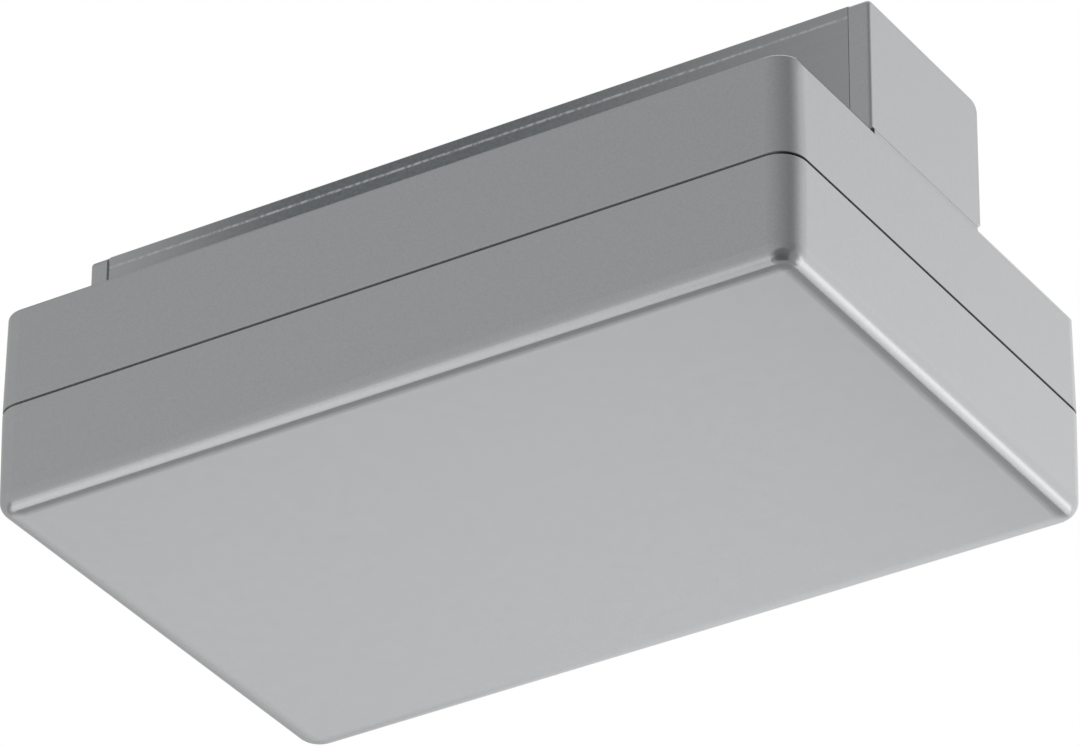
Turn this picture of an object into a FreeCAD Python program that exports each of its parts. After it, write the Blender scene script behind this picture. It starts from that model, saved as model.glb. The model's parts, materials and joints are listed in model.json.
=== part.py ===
import FreeCAD, Part
import math
import os
import re
import Sketcher

# Live-end feed for a three-circuit lighting track, hung from the ceiling beside the track's end.
# Frame: origin at the middle of the ceiling face, +X towards the closed end, -X into the track,
# +Z up. All sizes are in millimetres, and the drafts in degrees.
SIZES = {
    # Wiring box
    "box_length": 152.0,
    "box_width": 96.4,
    "box_offset": 4.0,
    "base_height": 18.45,
    "cover_height": 19.0,
    "seam_gap": 0.35,
    "seam_edge_radius": 0.25,
    "box_wall": 2.4,
    "corner_radius": 4.8,
    "cover_edge_radius": 2.6,
    "cover_roll_width": 3.2,
    "cover_roll_depth": 0.5,
    "cover_roll_radius": 12.0,
    "base_edge_radius": 0.5,
    "base_draft": 0.8,
    "end_bevel_height": 1.0,
    "end_bevel_inset": 0.55,
    "cover_draft": 0.8,
    "lip_depth": 2.0,
    "lip_thickness": 0.9,
    "lip_inset": 0.15,
    "lip_clearance": 0.3,
    # Channel, top plate and end caps
    "block_height": 24.65,
    "channel_width": 35.8,
    "channel_wall": 1.8,
    "channel_floor": 2.0,
    "channel_lip_width": 5.0,
    "channel_lip_depth": 4.0,
    "plate_thickness": 2.3,
    "plate_edge": 0.3,
    "cap_proud": 0.15,
    "cap_groove": 0.2,
    "cap_edge_radius": 0.6,
    "track_cap_thickness": 3.4,
    "track_cap_gap": 0.5,
    "track_cap_proud": 0.3,
    "closed_cap_thickness": 3.8,
    "closed_cap_gap": 0.2,
    "cap_far_radius": 2.2,
    "cap_near_radius": 1.0,
    "cap_foot_chamfer": 0.8,
    "cap_wall": 1.8,
    "spigot_length": 4.5,
    "spigot_clearance": 0.25,
    # Tongue and contacts
    "carrier_length": 23.0,
    "carrier_clearance": 0.6,
    "carrier_top": 3.0,
    "tongue_reach": 22.0,
    "tongue_width": 15.0,
    "tongue_height": 14.0,
    "tongue_top": 5.0,
    "tongue_nose": 2.0,
    "tongue_clearance": 1.5,
    "contact_width": 3.0,
    "contact_thickness": 0.6,
    "contact_inset": 0.1,
    "contact_slot_clearance": 0.1,
    "contact_spacing": 7.0,
    "contact_bow": 1.2,
    "contact_bow_length": 10.0,
    "contact_bow_ramp": 3.0,
    "contact_tip": 3.0,
    "contact_tail": 2.0,
    "ferrule_diameter": 4.0,
    "ferrule_length": 6.0,
    "earth_leaf_width": 5.0,
    "earth_leaf_thickness": 0.5,
    "earth_leaf_rise": 2.2,
    "earth_leaf_bow": 8.0,
    "earth_leaf_ramp": 2.0,
    "earth_leaf_seat": 5.0,
    # Track clamp
    "clamp_from_tip": 8.0,
    "clamp_screw_diameter": 4.0,
    "clamp_head_diameter": 7.0,
    "clamp_head_height": 2.6,
    "clamp_shelf": 3.0,
    "clamp_ring_diameter": 6.4,
    "clamp_ring_height": 0.8,
    "clamp_plate_size": 9.0,
    "clamp_plate_height": 3.0,
    "clamp_clearance": 0.3,
    "clamp_slot": 1.0,
    "running_clearance": 0.08,
    # Holes through plate, channel and base
    "ceiling_pitch": 64.0,
    "ceiling_hole": 4.5,
    "access_hole": 9.0,
    "cable_inset": 24.0,
    "cable_hole": 14.0,
    "cable_bore": 9.0,
    "grommet_hole": 16.0,
    "grommet_flange": 20.0,
    "grommet_flange_height": 2.0,
    "grommet_clearance": 0.1,
    "grommet_edge": 0.5,
    "slot_length": 44.0,
    "slot_width": 20.0,
    "slot_radius": 3.0,
    # Terminal block
    "terminal_pitch": 8.0,
    "terminal_width": 22.0,
    "terminal_height": 18.0,
    "terminal_front": 14.0,
    "terminal_standoff": 3.0,
    "terminal_ear": 6.0,
    "terminal_ear_height": 6.0,
    "terminal_end_wall": 1.5,
    "terminal_chamfer": 1.0,
    "terminal_groove": 0.8,
    "chamber_width": 5.2,
    "chamber_wall": 2.0,
    "chamber_roof": 4.0,
    "chamber_height": 7.0,
    "busbar_height": 1.0,
    "busbar_clearance": 0.2,
    "spring_thickness": 0.4,
    "spring_width": 3.4,
    "spring_seat": 2.4,
    "wire_hole": 3.2,
    "wire_funnel": 0.8,
    "button_width": 3.8,
    "button_depth": 4.2,
    "button_center": 3.5,
    "button_clearance": 0.2,
    "button_proud": 2.0,
    "button_stem_width": 2.0,
    "button_stem_depth": 2.6,
    "button_travel": 1.2,
    "button_slot": 0.8,
    # Wires and protective earth
    "wire_diameter": 2.4,
    "wire_clearance": 0.2,
    "wire_bend": 6.0,
    "wire_grip": 4.5,
    "earth_inset": 38.0,
    "earth_side": 10.0,
    "earth_pillar_size": 7.0,
    "earth_hole_clearance": 0.5,
    "earth_pillar_drop": 6.5,
    "earth_ring_diameter": 8.0,
    "earth_ring_thickness": 0.8,
    "earth_barrel_length": 6.0,
    "earth_barrel_drop": 0.2,
    "earth_wire_rise": 4.7,
    # Cord grip
    "grip_side": 24.0,
    "grip_pitch": 18.0,
    "grip_depth": 8.0,
    "grip_end": 4.0,
    "grip_saddle_height": 6.5,
    "grip_cable": 9.0,
    "grip_gap": 5.0,
    "grip_bar_height": 3.0,
    "grip_bar_edge": 0.6,
    "grip_notch_depth": 1.0,
    # Cover clips
    "clip_end_inset": 16.0,
    "clip_side_inset": 10.5,
    "clip_boss_height": 6.0,
    "clip_boss_length": 10.0,
    "clip_boss_width": 8.0,
    "clip_length": 8.0,
    "clip_width": 7.0,
    "clip_thickness": 0.5,
    "clip_shoulder": 1.0,
    "clip_pinch": 7.0,
    "clip_reach": 9.5,
    "clip_flare": 1.6,
    "clip_clearance": 0.15,
    "blade_thickness": 1.6,
    "blade_width": 10.0,
    "blade_clearance": 0.6,
    "blade_foot": 4.0,
    "blade_foot_height": 5.0,
    "rib_thickness": 1.2,
    "rib_height": 2.5,
    "rib_spread": 20.0,
    # Fasteners
    "screw_diameter": 3.0,
    "screw_head": 5.6,
    "screw_head_height": 2.0,
    "screw_fit": 0.2,
    "screw_slot": 0.7,
    "post_diameter": 7.0,
    "floor_screw_reach": 4.0,
    "carrier_screw_reach": 9.0,
    "grip_screw_reach": 11.0,
    "earth_screw_reach": 5.0,
    "rivet_diameter": 2.0,
    "rivet_head": 4.0,
    "rivet_head_height": 1.2,
    "rivet_reach": 5.0,
    "plate_screw_diameter": 2.2,
    "plate_screw_head": 3.8,
    "plate_screw_head_height": 1.0,
    "plate_screw_reach": 4.6,
    "plate_screw_inset": 14.0,
    "channel_screw_inset": 10.0,
    "channel_screw_side": 9.0,
}

# Places that follow from the sizes, as formulas of their names.
DERIVED = {
    "draft_setback": "base_height * tan(base_draft)",
    "left_end": "-box_length / 2 + draft_setback",
    "right_end": "box_length / 2 - draft_setback",
    "front_side": "box_offset - box_width / 2",
    "rear_side": "box_offset + box_width / 2",
    "base_top": "-block_height",
    "bevel_low": "base_top - end_bevel_height",
    "bevel_top": "right_end - end_bevel_inset",
    "base_bottom": "base_top - base_height",
    "base_inside": "base_top - box_wall",
    "cover_top": "base_bottom - seam_gap",
    "cover_bottom": "cover_top - cover_height",
    "cover_inside": "cover_bottom + box_wall",
    "cover_roll_top": "cover_bottom + cover_roll_depth * cos(cover_draft)",
    "lip_line": "box_wall - lip_inset - lip_thickness",
    "track_cap_face": "left_end - track_cap_proud",
    "track_cap_back": "track_cap_face + track_cap_thickness",
    "channel_start": "track_cap_back + track_cap_gap",
    "closed_cap_back": "right_end - closed_cap_thickness",
    "channel_end": "closed_cap_back - closed_cap_gap",
    "floor_top": "base_top + channel_floor",
    "plate_under": "-plate_thickness",
    "channel_half": "channel_width / 2",
    "cap_half": "channel_half + cap_proud",
    "lip_half": "channel_half - channel_lip_width",
    "spigot_half": "lip_half - spigot_clearance",
    "carrier_half": "lip_half - carrier_clearance",
    "spigot_top": "plate_under - spigot_clearance",
    "spigot_bottom": "floor_top + spigot_clearance",
    "carrier_start": "channel_start + spigot_length + earth_leaf_thickness + 2 * spigot_clearance",
    "carrier_end": "carrier_start + carrier_length",
    "tongue_tip": "left_end - tongue_reach",
    "tongue_roof": "-tongue_top",
    "tongue_floor": "-tongue_top - tongue_height",
    "tongue_half": "tongue_width / 2",
    "contact_outer": "tongue_half - contact_inset",
    "contact_inner": "contact_outer - contact_thickness",
    "contact_line": "contact_outer - contact_thickness / 2",
    "contact_mid": "-tongue_top - tongue_height / 2",
    "wire_start": "carrier_end + contact_tail + ferrule_length - wire_grip",
    "clamp_axis": "tongue_tip + clamp_from_tip",
    "clamp_shelf_floor": "tongue_floor + clamp_head_height + clamp_clearance",
    "clamp_shelf_top": "clamp_shelf_floor + clamp_shelf",
    "clamp_ring_floor": "clamp_shelf_top",
    "clamp_plate_floor": "tongue_roof - clamp_plate_height",
    "cable_position": "box_length / 2 - cable_inset",
    "terminal_top": "base_inside - terminal_standoff",
    "terminal_mid": "terminal_front + terminal_width / 2",
    "terminal_body": "5 * terminal_pitch / 2 + terminal_end_wall",
    "terminal_half": "terminal_body + terminal_ear",
    "terminal_screw_place": "terminal_body + terminal_ear / 2",
    "chamber_half": "terminal_width / 2 - chamber_wall",
    "chamber_floor": "chamber_roof + chamber_height",
    "wire_drop": "chamber_floor - busbar_height - wire_diameter / 2 - wire_clearance / 2",
    "wire_level": "terminal_top - wire_drop",
    "clamp_tip_drop": "wire_drop - wire_diameter / 2 - wire_clearance",
    "earth_position": "box_length / 2 - earth_inset",
    "earth_corner": "earth_pillar_size / 2 / cos(30)",
    "earth_foot": "base_top - earth_pillar_drop",
    "earth_barrel_level": "-earth_barrel_drop - ferrule_diameter / 2",
    "earth_wire_level": "earth_foot + earth_barrel_level",
    "grip_saddle_floor": "base_inside - grip_saddle_height",
    "grip_bar_top": "grip_saddle_floor - grip_gap",
    "clip_position": "box_length / 2 - clip_end_inset",
    "clip_spread": "box_width / 2 - clip_side_inset",
    "clip_web_top": "base_inside - clip_boss_height",
    "blade_top": "clip_web_top - clip_thickness - rivet_head_height - blade_clearance",
    "plate_screw_position": "box_length / 2 - plate_screw_inset",
    "channel_screw_position": "box_length / 2 - channel_screw_inset",
}

POLES = (-2, -1, 0, 1, 2)
NODES = []

doc = FreeCAD.newDocument("track_feed")
sheet = doc.addObject("Spreadsheet::Sheet", "sizes")
for row, (size_name, size) in enumerate(SIZES.items(), start=1):
    sheet.set(f"A{row}", size_name)
    sheet.set(f"B{row}", str(size))
    sheet.setAlias(f"B{row}", size_name)
doc.recompute()


def formula(text):
    """Write a formula of plain size names as an expression on the sheet."""

    def sheet_name(match):
        name = match.group()
        if name in DERIVED:
            return "(" + formula(DERIVED[name]) + ")"
        return "sizes." + name if name in SIZES else name

    return re.sub(r"[a-z][a-z_]*", sheet_name, str(text))


def value(text):
    """Give the present value of a formula of size names."""
    return float(sheet.evalExpression(formula(text)))


def new_body(label, x="0", y="0", z="0"):
    """Start a body whose place is bound to the sheet."""
    body = doc.addObject("PartDesign::Body", label)
    body.Label = label
    for axis, text in zip("xyz", (x, y, z)):
        body.setExpression(f"Placement.Base.{axis}", formula(text))
    return body


def sketch_on(body, plane, offset="0"):
    """Attach a sketch to one of the body's own origin planes, moved along its normal."""
    sketch = body.newObject("Sketcher::SketchObject", body.Label + "_sketch")
    support = next(item for item in body.Origin.OriginFeatures if item.Role == plane)
    sketch.AttachmentSupport = [(support, "")]
    sketch.MapMode = "FlatFace"
    sketch.setExpression("AttachmentOffset.Base.z", formula(offset))
    return sketch


def bind_constraint(sketch, constraint, text):
    number = sketch.addConstraint(constraint)
    sketch.setExpression(f"Constraints[{number}]", formula(text))


def pin_point(sketch, geometry, vertex, point):
    """Bind a point's two distances from the sketch's origin."""
    for kind, text in zip(("DistanceX", "DistanceY"), point):
        bind_constraint(sketch, Sketcher.Constraint(kind, -1, 1, geometry, vertex, value(text)), text)


def outline(sketch, points):
    """Draw a closed outline of straight lines through points given as formulas."""
    corners = [FreeCAD.Vector(value(x), value(y), 0) for x, y in points]
    first = sketch.GeometryCount
    count = len(points)
    for index in range(count):
        sketch.addGeometry(Part.LineSegment(corners[index], corners[(index + 1) % count]), False)
    for index in range(count):
        follower = first + (index + 1) % count
        sketch.addConstraint(Sketcher.Constraint("Coincident", first + index, 2, follower, 1))
    for index, point in enumerate(points):
        pin_point(sketch, first + index, 1, point)


def rectangle(sketch, low, high):
    outline(sketch, [low, (high[0], low[1]), high, (low[0], high[1])])


def middle_rectangle(sketch, middle, length, width):
    """Draw a rectangle about a middle point."""
    low = (f"{middle[0]} - ({length}) / 2", f"{middle[1]} - ({width}) / 2")
    high = (f"{middle[0]} + ({length}) / 2", f"{middle[1]} + ({width}) / 2")
    rectangle(sketch, low, high)


def rounded_rectangle(sketch, low, high, radius):
    """Draw a rectangle whose corners are tangent arcs."""
    x0, y0 = (value(text) for text in low)
    x1, y1 = (value(text) for text in high)
    r = value(radius)
    runs = [((x0 + r, y0), (x1 - r, y0)), ((x1, y0 + r), (x1, y1 - r)),
            ((x1 - r, y1), (x0 + r, y1)), ((x0, y1 - r), (x0, y0 + r))]
    centres = [(x1 - r, y0 + r), (x1 - r, y1 - r), (x0 + r, y1 - r), (x0 + r, y0 + r)]
    first = sketch.GeometryCount
    for start, end in runs:
        sketch.addGeometry(Part.LineSegment(FreeCAD.Vector(*start, 0), FreeCAD.Vector(*end, 0)), False)
    for quarter, centre in enumerate(centres, start=-1):
        circle_shape = Part.Circle(FreeCAD.Vector(*centre, 0), FreeCAD.Vector(0, 0, 1), r)
        turn = quarter * math.pi / 2
        sketch.addGeometry(Part.ArcOfCircle(circle_shape, turn, turn + math.pi / 2), False)
    for index in range(4):
        arc = first + 4 + index
        follower = first + (index + 1) % 4
        sketch.addConstraint(Sketcher.Constraint("Tangent", first + index, 2, arc, 1))
        sketch.addConstraint(Sketcher.Constraint("Tangent", arc, 2, follower, 1))
    for index, kind in enumerate(("Horizontal", "Vertical", "Horizontal", "Vertical")):
        sketch.addConstraint(Sketcher.Constraint(kind, first + index))
    for index in range(1, 4):
        sketch.addConstraint(Sketcher.Constraint("Equal", first + 4, first + 4 + index))
    bind_constraint(sketch, Sketcher.Constraint("Radius", first + 4, r), radius)
    sides = (("DistanceY", low[1]), ("DistanceX", high[0]), ("DistanceY", high[1]), ("DistanceX", low[0]))
    for index, (kind, text) in enumerate(sides):
        bind_constraint(sketch, Sketcher.Constraint(kind, -1, 1, first + index, 1, value(text)), text)


def circle(sketch, middle, diameter):
    centre = FreeCAD.Vector(value(middle[0]), value(middle[1]), 0)
    shape = Part.Circle(centre, FreeCAD.Vector(0, 0, 1), value(diameter) / 2)
    number = sketch.addGeometry(shape, False)
    pin_point(sketch, number, 3, middle)
    bind_constraint(sketch, Sketcher.Constraint("Diameter", number, value(diameter)), diameter)


def feature(body, kind, sketch, length, back, draft):
    """Add a pad or a pocket of the sketch; back turns it round and draft tapers its sides."""
    item = body.newObject("PartDesign::" + kind, f"{body.Label}_{kind.lower()}")
    item.Profile = sketch
    item.setExpression("Length", formula(length))
    item.setExpression("TaperAngle", formula(draft))
    item.Reversed = back
    body.Tip = item
    return item


def pad(body, sketch, length, back=False, draft="0"):
    return feature(body, "Pad", sketch, length, back, draft)


def pocket(body, sketch, length, back=False, draft="0"):
    return feature(body, "Pocket", sketch, length, back, draft)


def revolve(body, sketch):
    """Turn the sketch about its own vertical axis."""
    item = body.newObject("PartDesign::Revolution", body.Label + "_revolution")
    item.Profile = sketch
    item.ReferenceAxis = (sketch, ["V_Axis"])
    item.Angle = 360
    body.Tip = item
    return item


def dress(body, kind, size, pick):
    """Round or chamfer the edges that pick chooses on the body's last feature."""
    doc.recompute()
    base = body.Tip
    edges = [f"Edge{index}" for index, edge in enumerate(base.Shape.Edges, start=1) if pick(edge)]
    item = body.newObject("PartDesign::" + kind, f"{body.Label}_{kind.lower()}")
    item.Base = (base, edges)
    item.setExpression("Radius" if kind == "Fillet" else "Size", formula(size))
    body.Tip = item
    return item


def at_level(level):
    """Choose edges or faces that lie flat at a height."""
    height = value(level)
    return lambda item: abs(item.BoundBox.ZMax - height) < 1e-4 and abs(item.BoundBox.ZMin - height) < 1e-4


def along_x(y, z):
    """Choose the edge along X that runs through a point of the cross-section."""
    side = value(y)
    height = value(z)

    def pick(edge):
        box = edge.BoundBox
        flat = max(abs(box.YMax - side), abs(box.YMin - side), abs(box.ZMax - height), abs(box.ZMin - height))
        return flat < 1e-4 and box.XLength > 1e-3

    return pick


def keep(item):
    """Enter a sub-part in the list of nodes."""
    NODES.append(item)
    return item


def copies(label, template, places):
    """Make one node of equal pieces, each a copy of the template at its own place."""
    links = []
    for number, place in enumerate(places, start=1):
        link = doc.addObject("App::Link", f"{label}_{number}")
        link.LinkedObject = template
        for axis, text in zip("xyz", place):
            link.setExpression(f"Placement.Base.{axis}", formula(text))
        links.append(link)
    group = doc.addObject("Part::Compound", label)
    group.Label = label
    group.Links = links
    return keep(group)


def box_outline(sketch, inset):
    """Draw the wiring box's outline, drawn in by an inset all round."""
    low = (f"-box_length / 2 + {inset}", f"front_side + {inset}")
    high = (f"box_length / 2 - ({inset})", f"rear_side - ({inset})")
    rounded_rectangle(sketch, low, high, f"corner_radius - ({inset})")


CLIP_PLACES = [(f"{end} * clip_position", f"box_offset + {side} * clip_spread")
               for end in (-1, 1) for side in (-1, 1)]
CEILING_PLACES = [("-ceiling_pitch / 2", "0"), ("ceiling_pitch / 2", "0")]
CHANNEL_SCREW_PLACES = [("channel_screw_position", f"{side} * channel_screw_side") for side in (-1, 1)]
CARRIER_SCREW_PLACES = [(f"carrier_start + {quarter} * carrier_length / 4", "0") for quarter in (1, 3)]
TERMINAL_SCREW_PLACES = [(f"{end} * terminal_screw_place", "terminal_mid") for end in (-1, 1)]
GRIP_SCREW_PLACES = [(f"cable_position + {end} * grip_pitch / 2", "grip_side") for end in (-1, 1)]
EARTH_PLACE = ("earth_position", "-earth_side")
PLATE_SCREW_PLACES = [(f"{end} * plate_screw_position", f"{side} * (channel_half + lip_half) / 2")
                      for end in (-1, 1) for side in (-1, 1)]


def circles(sketch, places, diameter):
    for place in places:
        circle(sketch, place, diameter)


def floor_openings(sketch):
    """Draw the openings that pass through both the channel's floor and the base."""
    low = ("-slot_length / 2", "-slot_width / 2")
    high = ("slot_length / 2", "slot_width / 2")
    rounded_rectangle(sketch, low, high, "slot_radius")
    circles(sketch, CEILING_PLACES, "access_hole")
    circle(sketch, ("cable_position", "0"), "cable_hole")
    circles(sketch, CARRIER_SCREW_PLACES + CHANNEL_SCREW_PLACES, "screw_diameter + screw_fit")


def bevel_ends(body):
    """Take the top edge off both ends of the base, across its whole width."""
    section = sketch_on(body, "XZ_Plane", "end_bevel_height - front_side")
    for side in (-1, 1):
        outside = f"{side} * (right_end + box_wall)"
        above = f"{side} * (bevel_top - end_bevel_inset)"
        below = f"{side} * (right_end + end_bevel_inset)"
        outline(section, [(above, "base_top + end_bevel_height"), (below, "bevel_low - end_bevel_height"),
                          (outside, "bevel_low - end_bevel_height"),
                          (outside, "base_top + end_bevel_height")])
    pocket(body, section, "box_width + 2 * end_bevel_height")


def make_base_housing():
    body = new_body("base_housing")
    wall_line = sketch_on(body, "XY_Plane", "base_bottom")
    box_outline(wall_line, "0")
    pad(body, wall_line, "base_height", draft="-base_draft")
    dress(body, "Fillet", "base_edge_radius", at_level("base_top"))
    dress(body, "Fillet", "seam_edge_radius", at_level("base_bottom"))
    bevel_ends(body)
    cavity = sketch_on(body, "XY_Plane", "base_bottom")
    box_outline(cavity, "box_wall")
    pocket(body, cavity, "base_height - box_wall", back=True, draft="-base_draft")
    lip = sketch_on(body, "XY_Plane", "base_bottom")
    box_outline(lip, "lip_line")
    box_outline(lip, "box_wall - lip_inset")
    pad(body, lip, "lip_depth", back=True)
    posts = sketch_on(body, "XY_Plane", "base_inside")
    circles(posts, TERMINAL_SCREW_PLACES, "post_diameter")
    pad(body, posts, "terminal_standoff", back=True)
    bosses = sketch_on(body, "XY_Plane", "base_inside")
    for place in CLIP_PLACES:
        middle_rectangle(bosses, place, "clip_boss_length", "clip_boss_width")
    pad(body, bosses, "clip_boss_height", back=True)
    saddle = sketch_on(body, "XY_Plane", "base_inside")
    middle_rectangle(saddle, ("cable_position", "grip_side"), "grip_pitch + 2 * grip_end", "grip_depth")
    pad(body, saddle, "grip_saddle_height", back=True)
    groove = sketch_on(body, "XZ_Plane", "grip_depth - grip_side")
    circle(groove, ("cable_position", "grip_saddle_floor - grip_gap / 2 + grip_cable / 4"), "grip_cable")
    pocket(body, groove, "2 * grip_depth")
    openings = sketch_on(body, "XY_Plane", "base_top")
    floor_openings(openings)
    circle(openings, EARTH_PLACE, "2 * (earth_corner + earth_hole_clearance)")
    pocket(body, openings, "2 * box_wall")
    pilots = (("terminal_top", TERMINAL_SCREW_PLACES, "screw_diameter + screw_fit"),
              ("clip_web_top", CLIP_PLACES, "rivet_diameter + screw_fit"),
              ("grip_saddle_floor", GRIP_SCREW_PLACES, "screw_diameter + screw_fit"))
    depths = ("terminal_standoff + box_wall / 2", "rivet_reach", "grip_saddle_height + box_wall / 2")
    for (level, places, diameter), depth in zip(pilots, depths):
        holes = sketch_on(body, "XY_Plane", level)
        circles(holes, places, diameter)
        pocket(body, holes, depth, back=True)
    return keep(body)


def make_cover():
    body = new_body("cover")
    wall_line = sketch_on(body, "XY_Plane", "cover_top")
    box_outline(wall_line, "0")
    pad(body, wall_line, "cover_height", back=True, draft="-cover_draft")
    roll = dress(body, "Chamfer", "cover_roll_depth", at_level("cover_bottom"))
    roll.ChamferType = "Two distances"
    roll.setExpression("Size2", formula("cover_roll_width"))
    dress(body, "Fillet", "cover_roll_radius", at_level("cover_bottom"))
    dress(body, "Fillet", "cover_edge_radius", at_level("cover_roll_top"))
    dress(body, "Fillet", "seam_edge_radius", at_level("cover_top"))
    cavity = sketch_on(body, "XY_Plane", "cover_top")
    box_outline(cavity, "box_wall")
    pocket(body, cavity, "cover_height - box_wall", draft="-cover_draft")
    dress(body, "Fillet", "cover_edge_radius / 2", at_level("cover_inside"))
    rebate = sketch_on(body, "XY_Plane", "cover_top")
    box_outline(rebate, "lip_line - lip_clearance")
    pocket(body, rebate, "lip_depth - seam_gap")
    ribs = sketch_on(body, "XY_Plane", "cover_inside")
    for side in (-1, 1):
        middle = ("0", f"box_offset + {side} * rib_spread")
        middle_rectangle(ribs, middle, "2 * clip_position", "rib_thickness")
    pad(body, ribs, "rib_height")
    blades = sketch_on(body, "XY_Plane", "cover_inside")
    feet = sketch_on(body, "XY_Plane", "cover_inside")
    for place in CLIP_PLACES:
        middle_rectangle(blades, place, "blade_width", "blade_thickness")
        middle_rectangle(feet, place, "rib_thickness", "blade_thickness + 2 * blade_foot")
    pad(body, blades, "blade_top - cover_inside")
    pad(body, feet, "blade_foot_height")
    return keep(body)


def make_feed_channel():
    body = new_body("feed_channel")
    section = sketch_on(body, "YZ_Plane", "channel_start")
    lip_under = "plate_under - channel_lip_depth"
    slope_foot = f"{lip_under} - channel_lip_width + channel_wall"
    right = [("channel_half", "base_top"), ("channel_half", "plate_under"), ("lip_half", "plate_under"),
             ("lip_half", lip_under), ("channel_half - channel_wall", slope_foot),
             ("channel_half - channel_wall", "floor_top")]
    left = [(f"-({y})", z) for y, z in reversed(right)]
    outline(section, right + left)
    pad(body, section, "channel_end - channel_start")
    openings = sketch_on(body, "XY_Plane", "floor_top")
    floor_openings(openings)
    circle(openings, EARTH_PLACE, "screw_diameter + screw_fit")
    pocket(body, openings, "2 * channel_floor")
    taps = sketch_on(body, "XY_Plane", "plate_under")
    circles(taps, PLATE_SCREW_PLACES, "plate_screw_diameter + screw_fit")
    pocket(body, taps, "plate_screw_reach")
    return keep(body)


def make_top_plate():
    body = new_body("channel_top_plate")
    sheet_line = sketch_on(body, "XY_Plane", "plate_under")
    rectangle(sheet_line, ("channel_start", "-channel_half"), ("channel_end", "channel_half"))
    pad(body, sheet_line, "plate_thickness")
    for side in (-1, 1):
        dress(body, "Chamfer", "plate_edge", along_x(f"{side} * channel_half", "0"))
    holes = sketch_on(body, "XY_Plane", "0")
    circles(holes, CEILING_PLACES, "ceiling_hole")
    circle(holes, ("cable_position", "0"), "grommet_hole")
    circles(holes, PLATE_SCREW_PLACES, "plate_screw_diameter + screw_fit")
    pocket(body, holes, "plate_thickness * 2")
    sinks = sketch_on(body, "XY_Plane", "0")
    circles(sinks, PLATE_SCREW_PLACES, "plate_screw_head + screw_fit")
    slope = "atan((plate_screw_head - plate_screw_diameter) / 2 / plate_screw_head_height)"
    pocket(body, sinks, "plate_screw_head_height", draft=f"-{slope}")
    return keep(body)


def cap_flange(body, start, thickness, outer):
    """Make a cap's plate, with its outer edge rounded except where it stands on the base."""
    face = sketch_on(body, "YZ_Plane", start)
    rectangle(face, ("-cap_half", "base_top"), ("cap_half", "0"))
    pad(body, face, thickness)
    dress(body, "Fillet", "cap_far_radius", along_x("cap_half", "0"))
    dress(body, "Fillet", "cap_near_radius", along_x("-cap_half", "0"))
    dress(body, "Chamfer", "cap_foot_chamfer", along_x("cap_half", "base_top"))
    end = value(outer)
    foot = value("base_top")

    def outer_edge(edge):
        box = edge.BoundBox
        return max(abs(box.XMax - end), abs(box.XMin - end)) < 1e-4 and box.ZMax > foot + 1e-4

    dress(body, "Fillet", "cap_edge_radius", outer_edge)


def spigot_frame(sketch, inset):
    rectangle(sketch, (f"-spigot_half + {inset}", f"spigot_bottom + {inset}"),
              (f"spigot_half - {inset}", f"spigot_top - {inset}"))


def shoulder_frame(sketch):
    """Draw the stop between a cap's plate and the channel, set in to leave a shallow groove."""
    low_corner = ("-channel_half + cap_groove", "base_top")
    high_corner = ("channel_half - cap_groove", "-cap_groove")
    rectangle(sketch, low_corner, high_corner)
    spigot_frame(sketch, "cap_wall")


def make_closed_end_cap():
    body = new_body("closed_end_cap")
    cap_flange(body, "closed_cap_back", "closed_cap_thickness", "right_end")
    shoulder = sketch_on(body, "YZ_Plane", "closed_cap_back")
    shoulder_frame(shoulder)
    pad(body, shoulder, "closed_cap_gap", back=True)
    spigot = sketch_on(body, "YZ_Plane", "closed_cap_back")
    spigot_frame(spigot, "0")
    spigot_frame(spigot, "cap_wall")
    pad(body, spigot, "closed_cap_gap + spigot_length", back=True)
    return keep(body)


def make_track_end_cap():
    body = new_body("track_end_cap")
    cap_flange(body, "track_cap_face", "track_cap_thickness", "track_cap_face")
    shoulder = sketch_on(body, "YZ_Plane", "track_cap_back")
    shoulder_frame(shoulder)
    pad(body, shoulder, "track_cap_gap")
    spigot = sketch_on(body, "YZ_Plane", "track_cap_back")
    spigot_frame(spigot, "0")
    spigot_frame(spigot, "cap_wall")
    pad(body, spigot, "track_cap_gap + spigot_length")
    mouth = sketch_on(body, "YZ_Plane", "track_cap_face")
    rectangle(mouth, ("-tongue_half - tongue_clearance", "tongue_floor - tongue_clearance"),
              ("tongue_half + tongue_clearance", "tongue_roof + tongue_clearance"))
    pocket(body, mouth, "track_cap_thickness", back=True)
    return keep(body)


def contact_level(row):
    return f"contact_mid + {row} * contact_spacing / 2"


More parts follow.
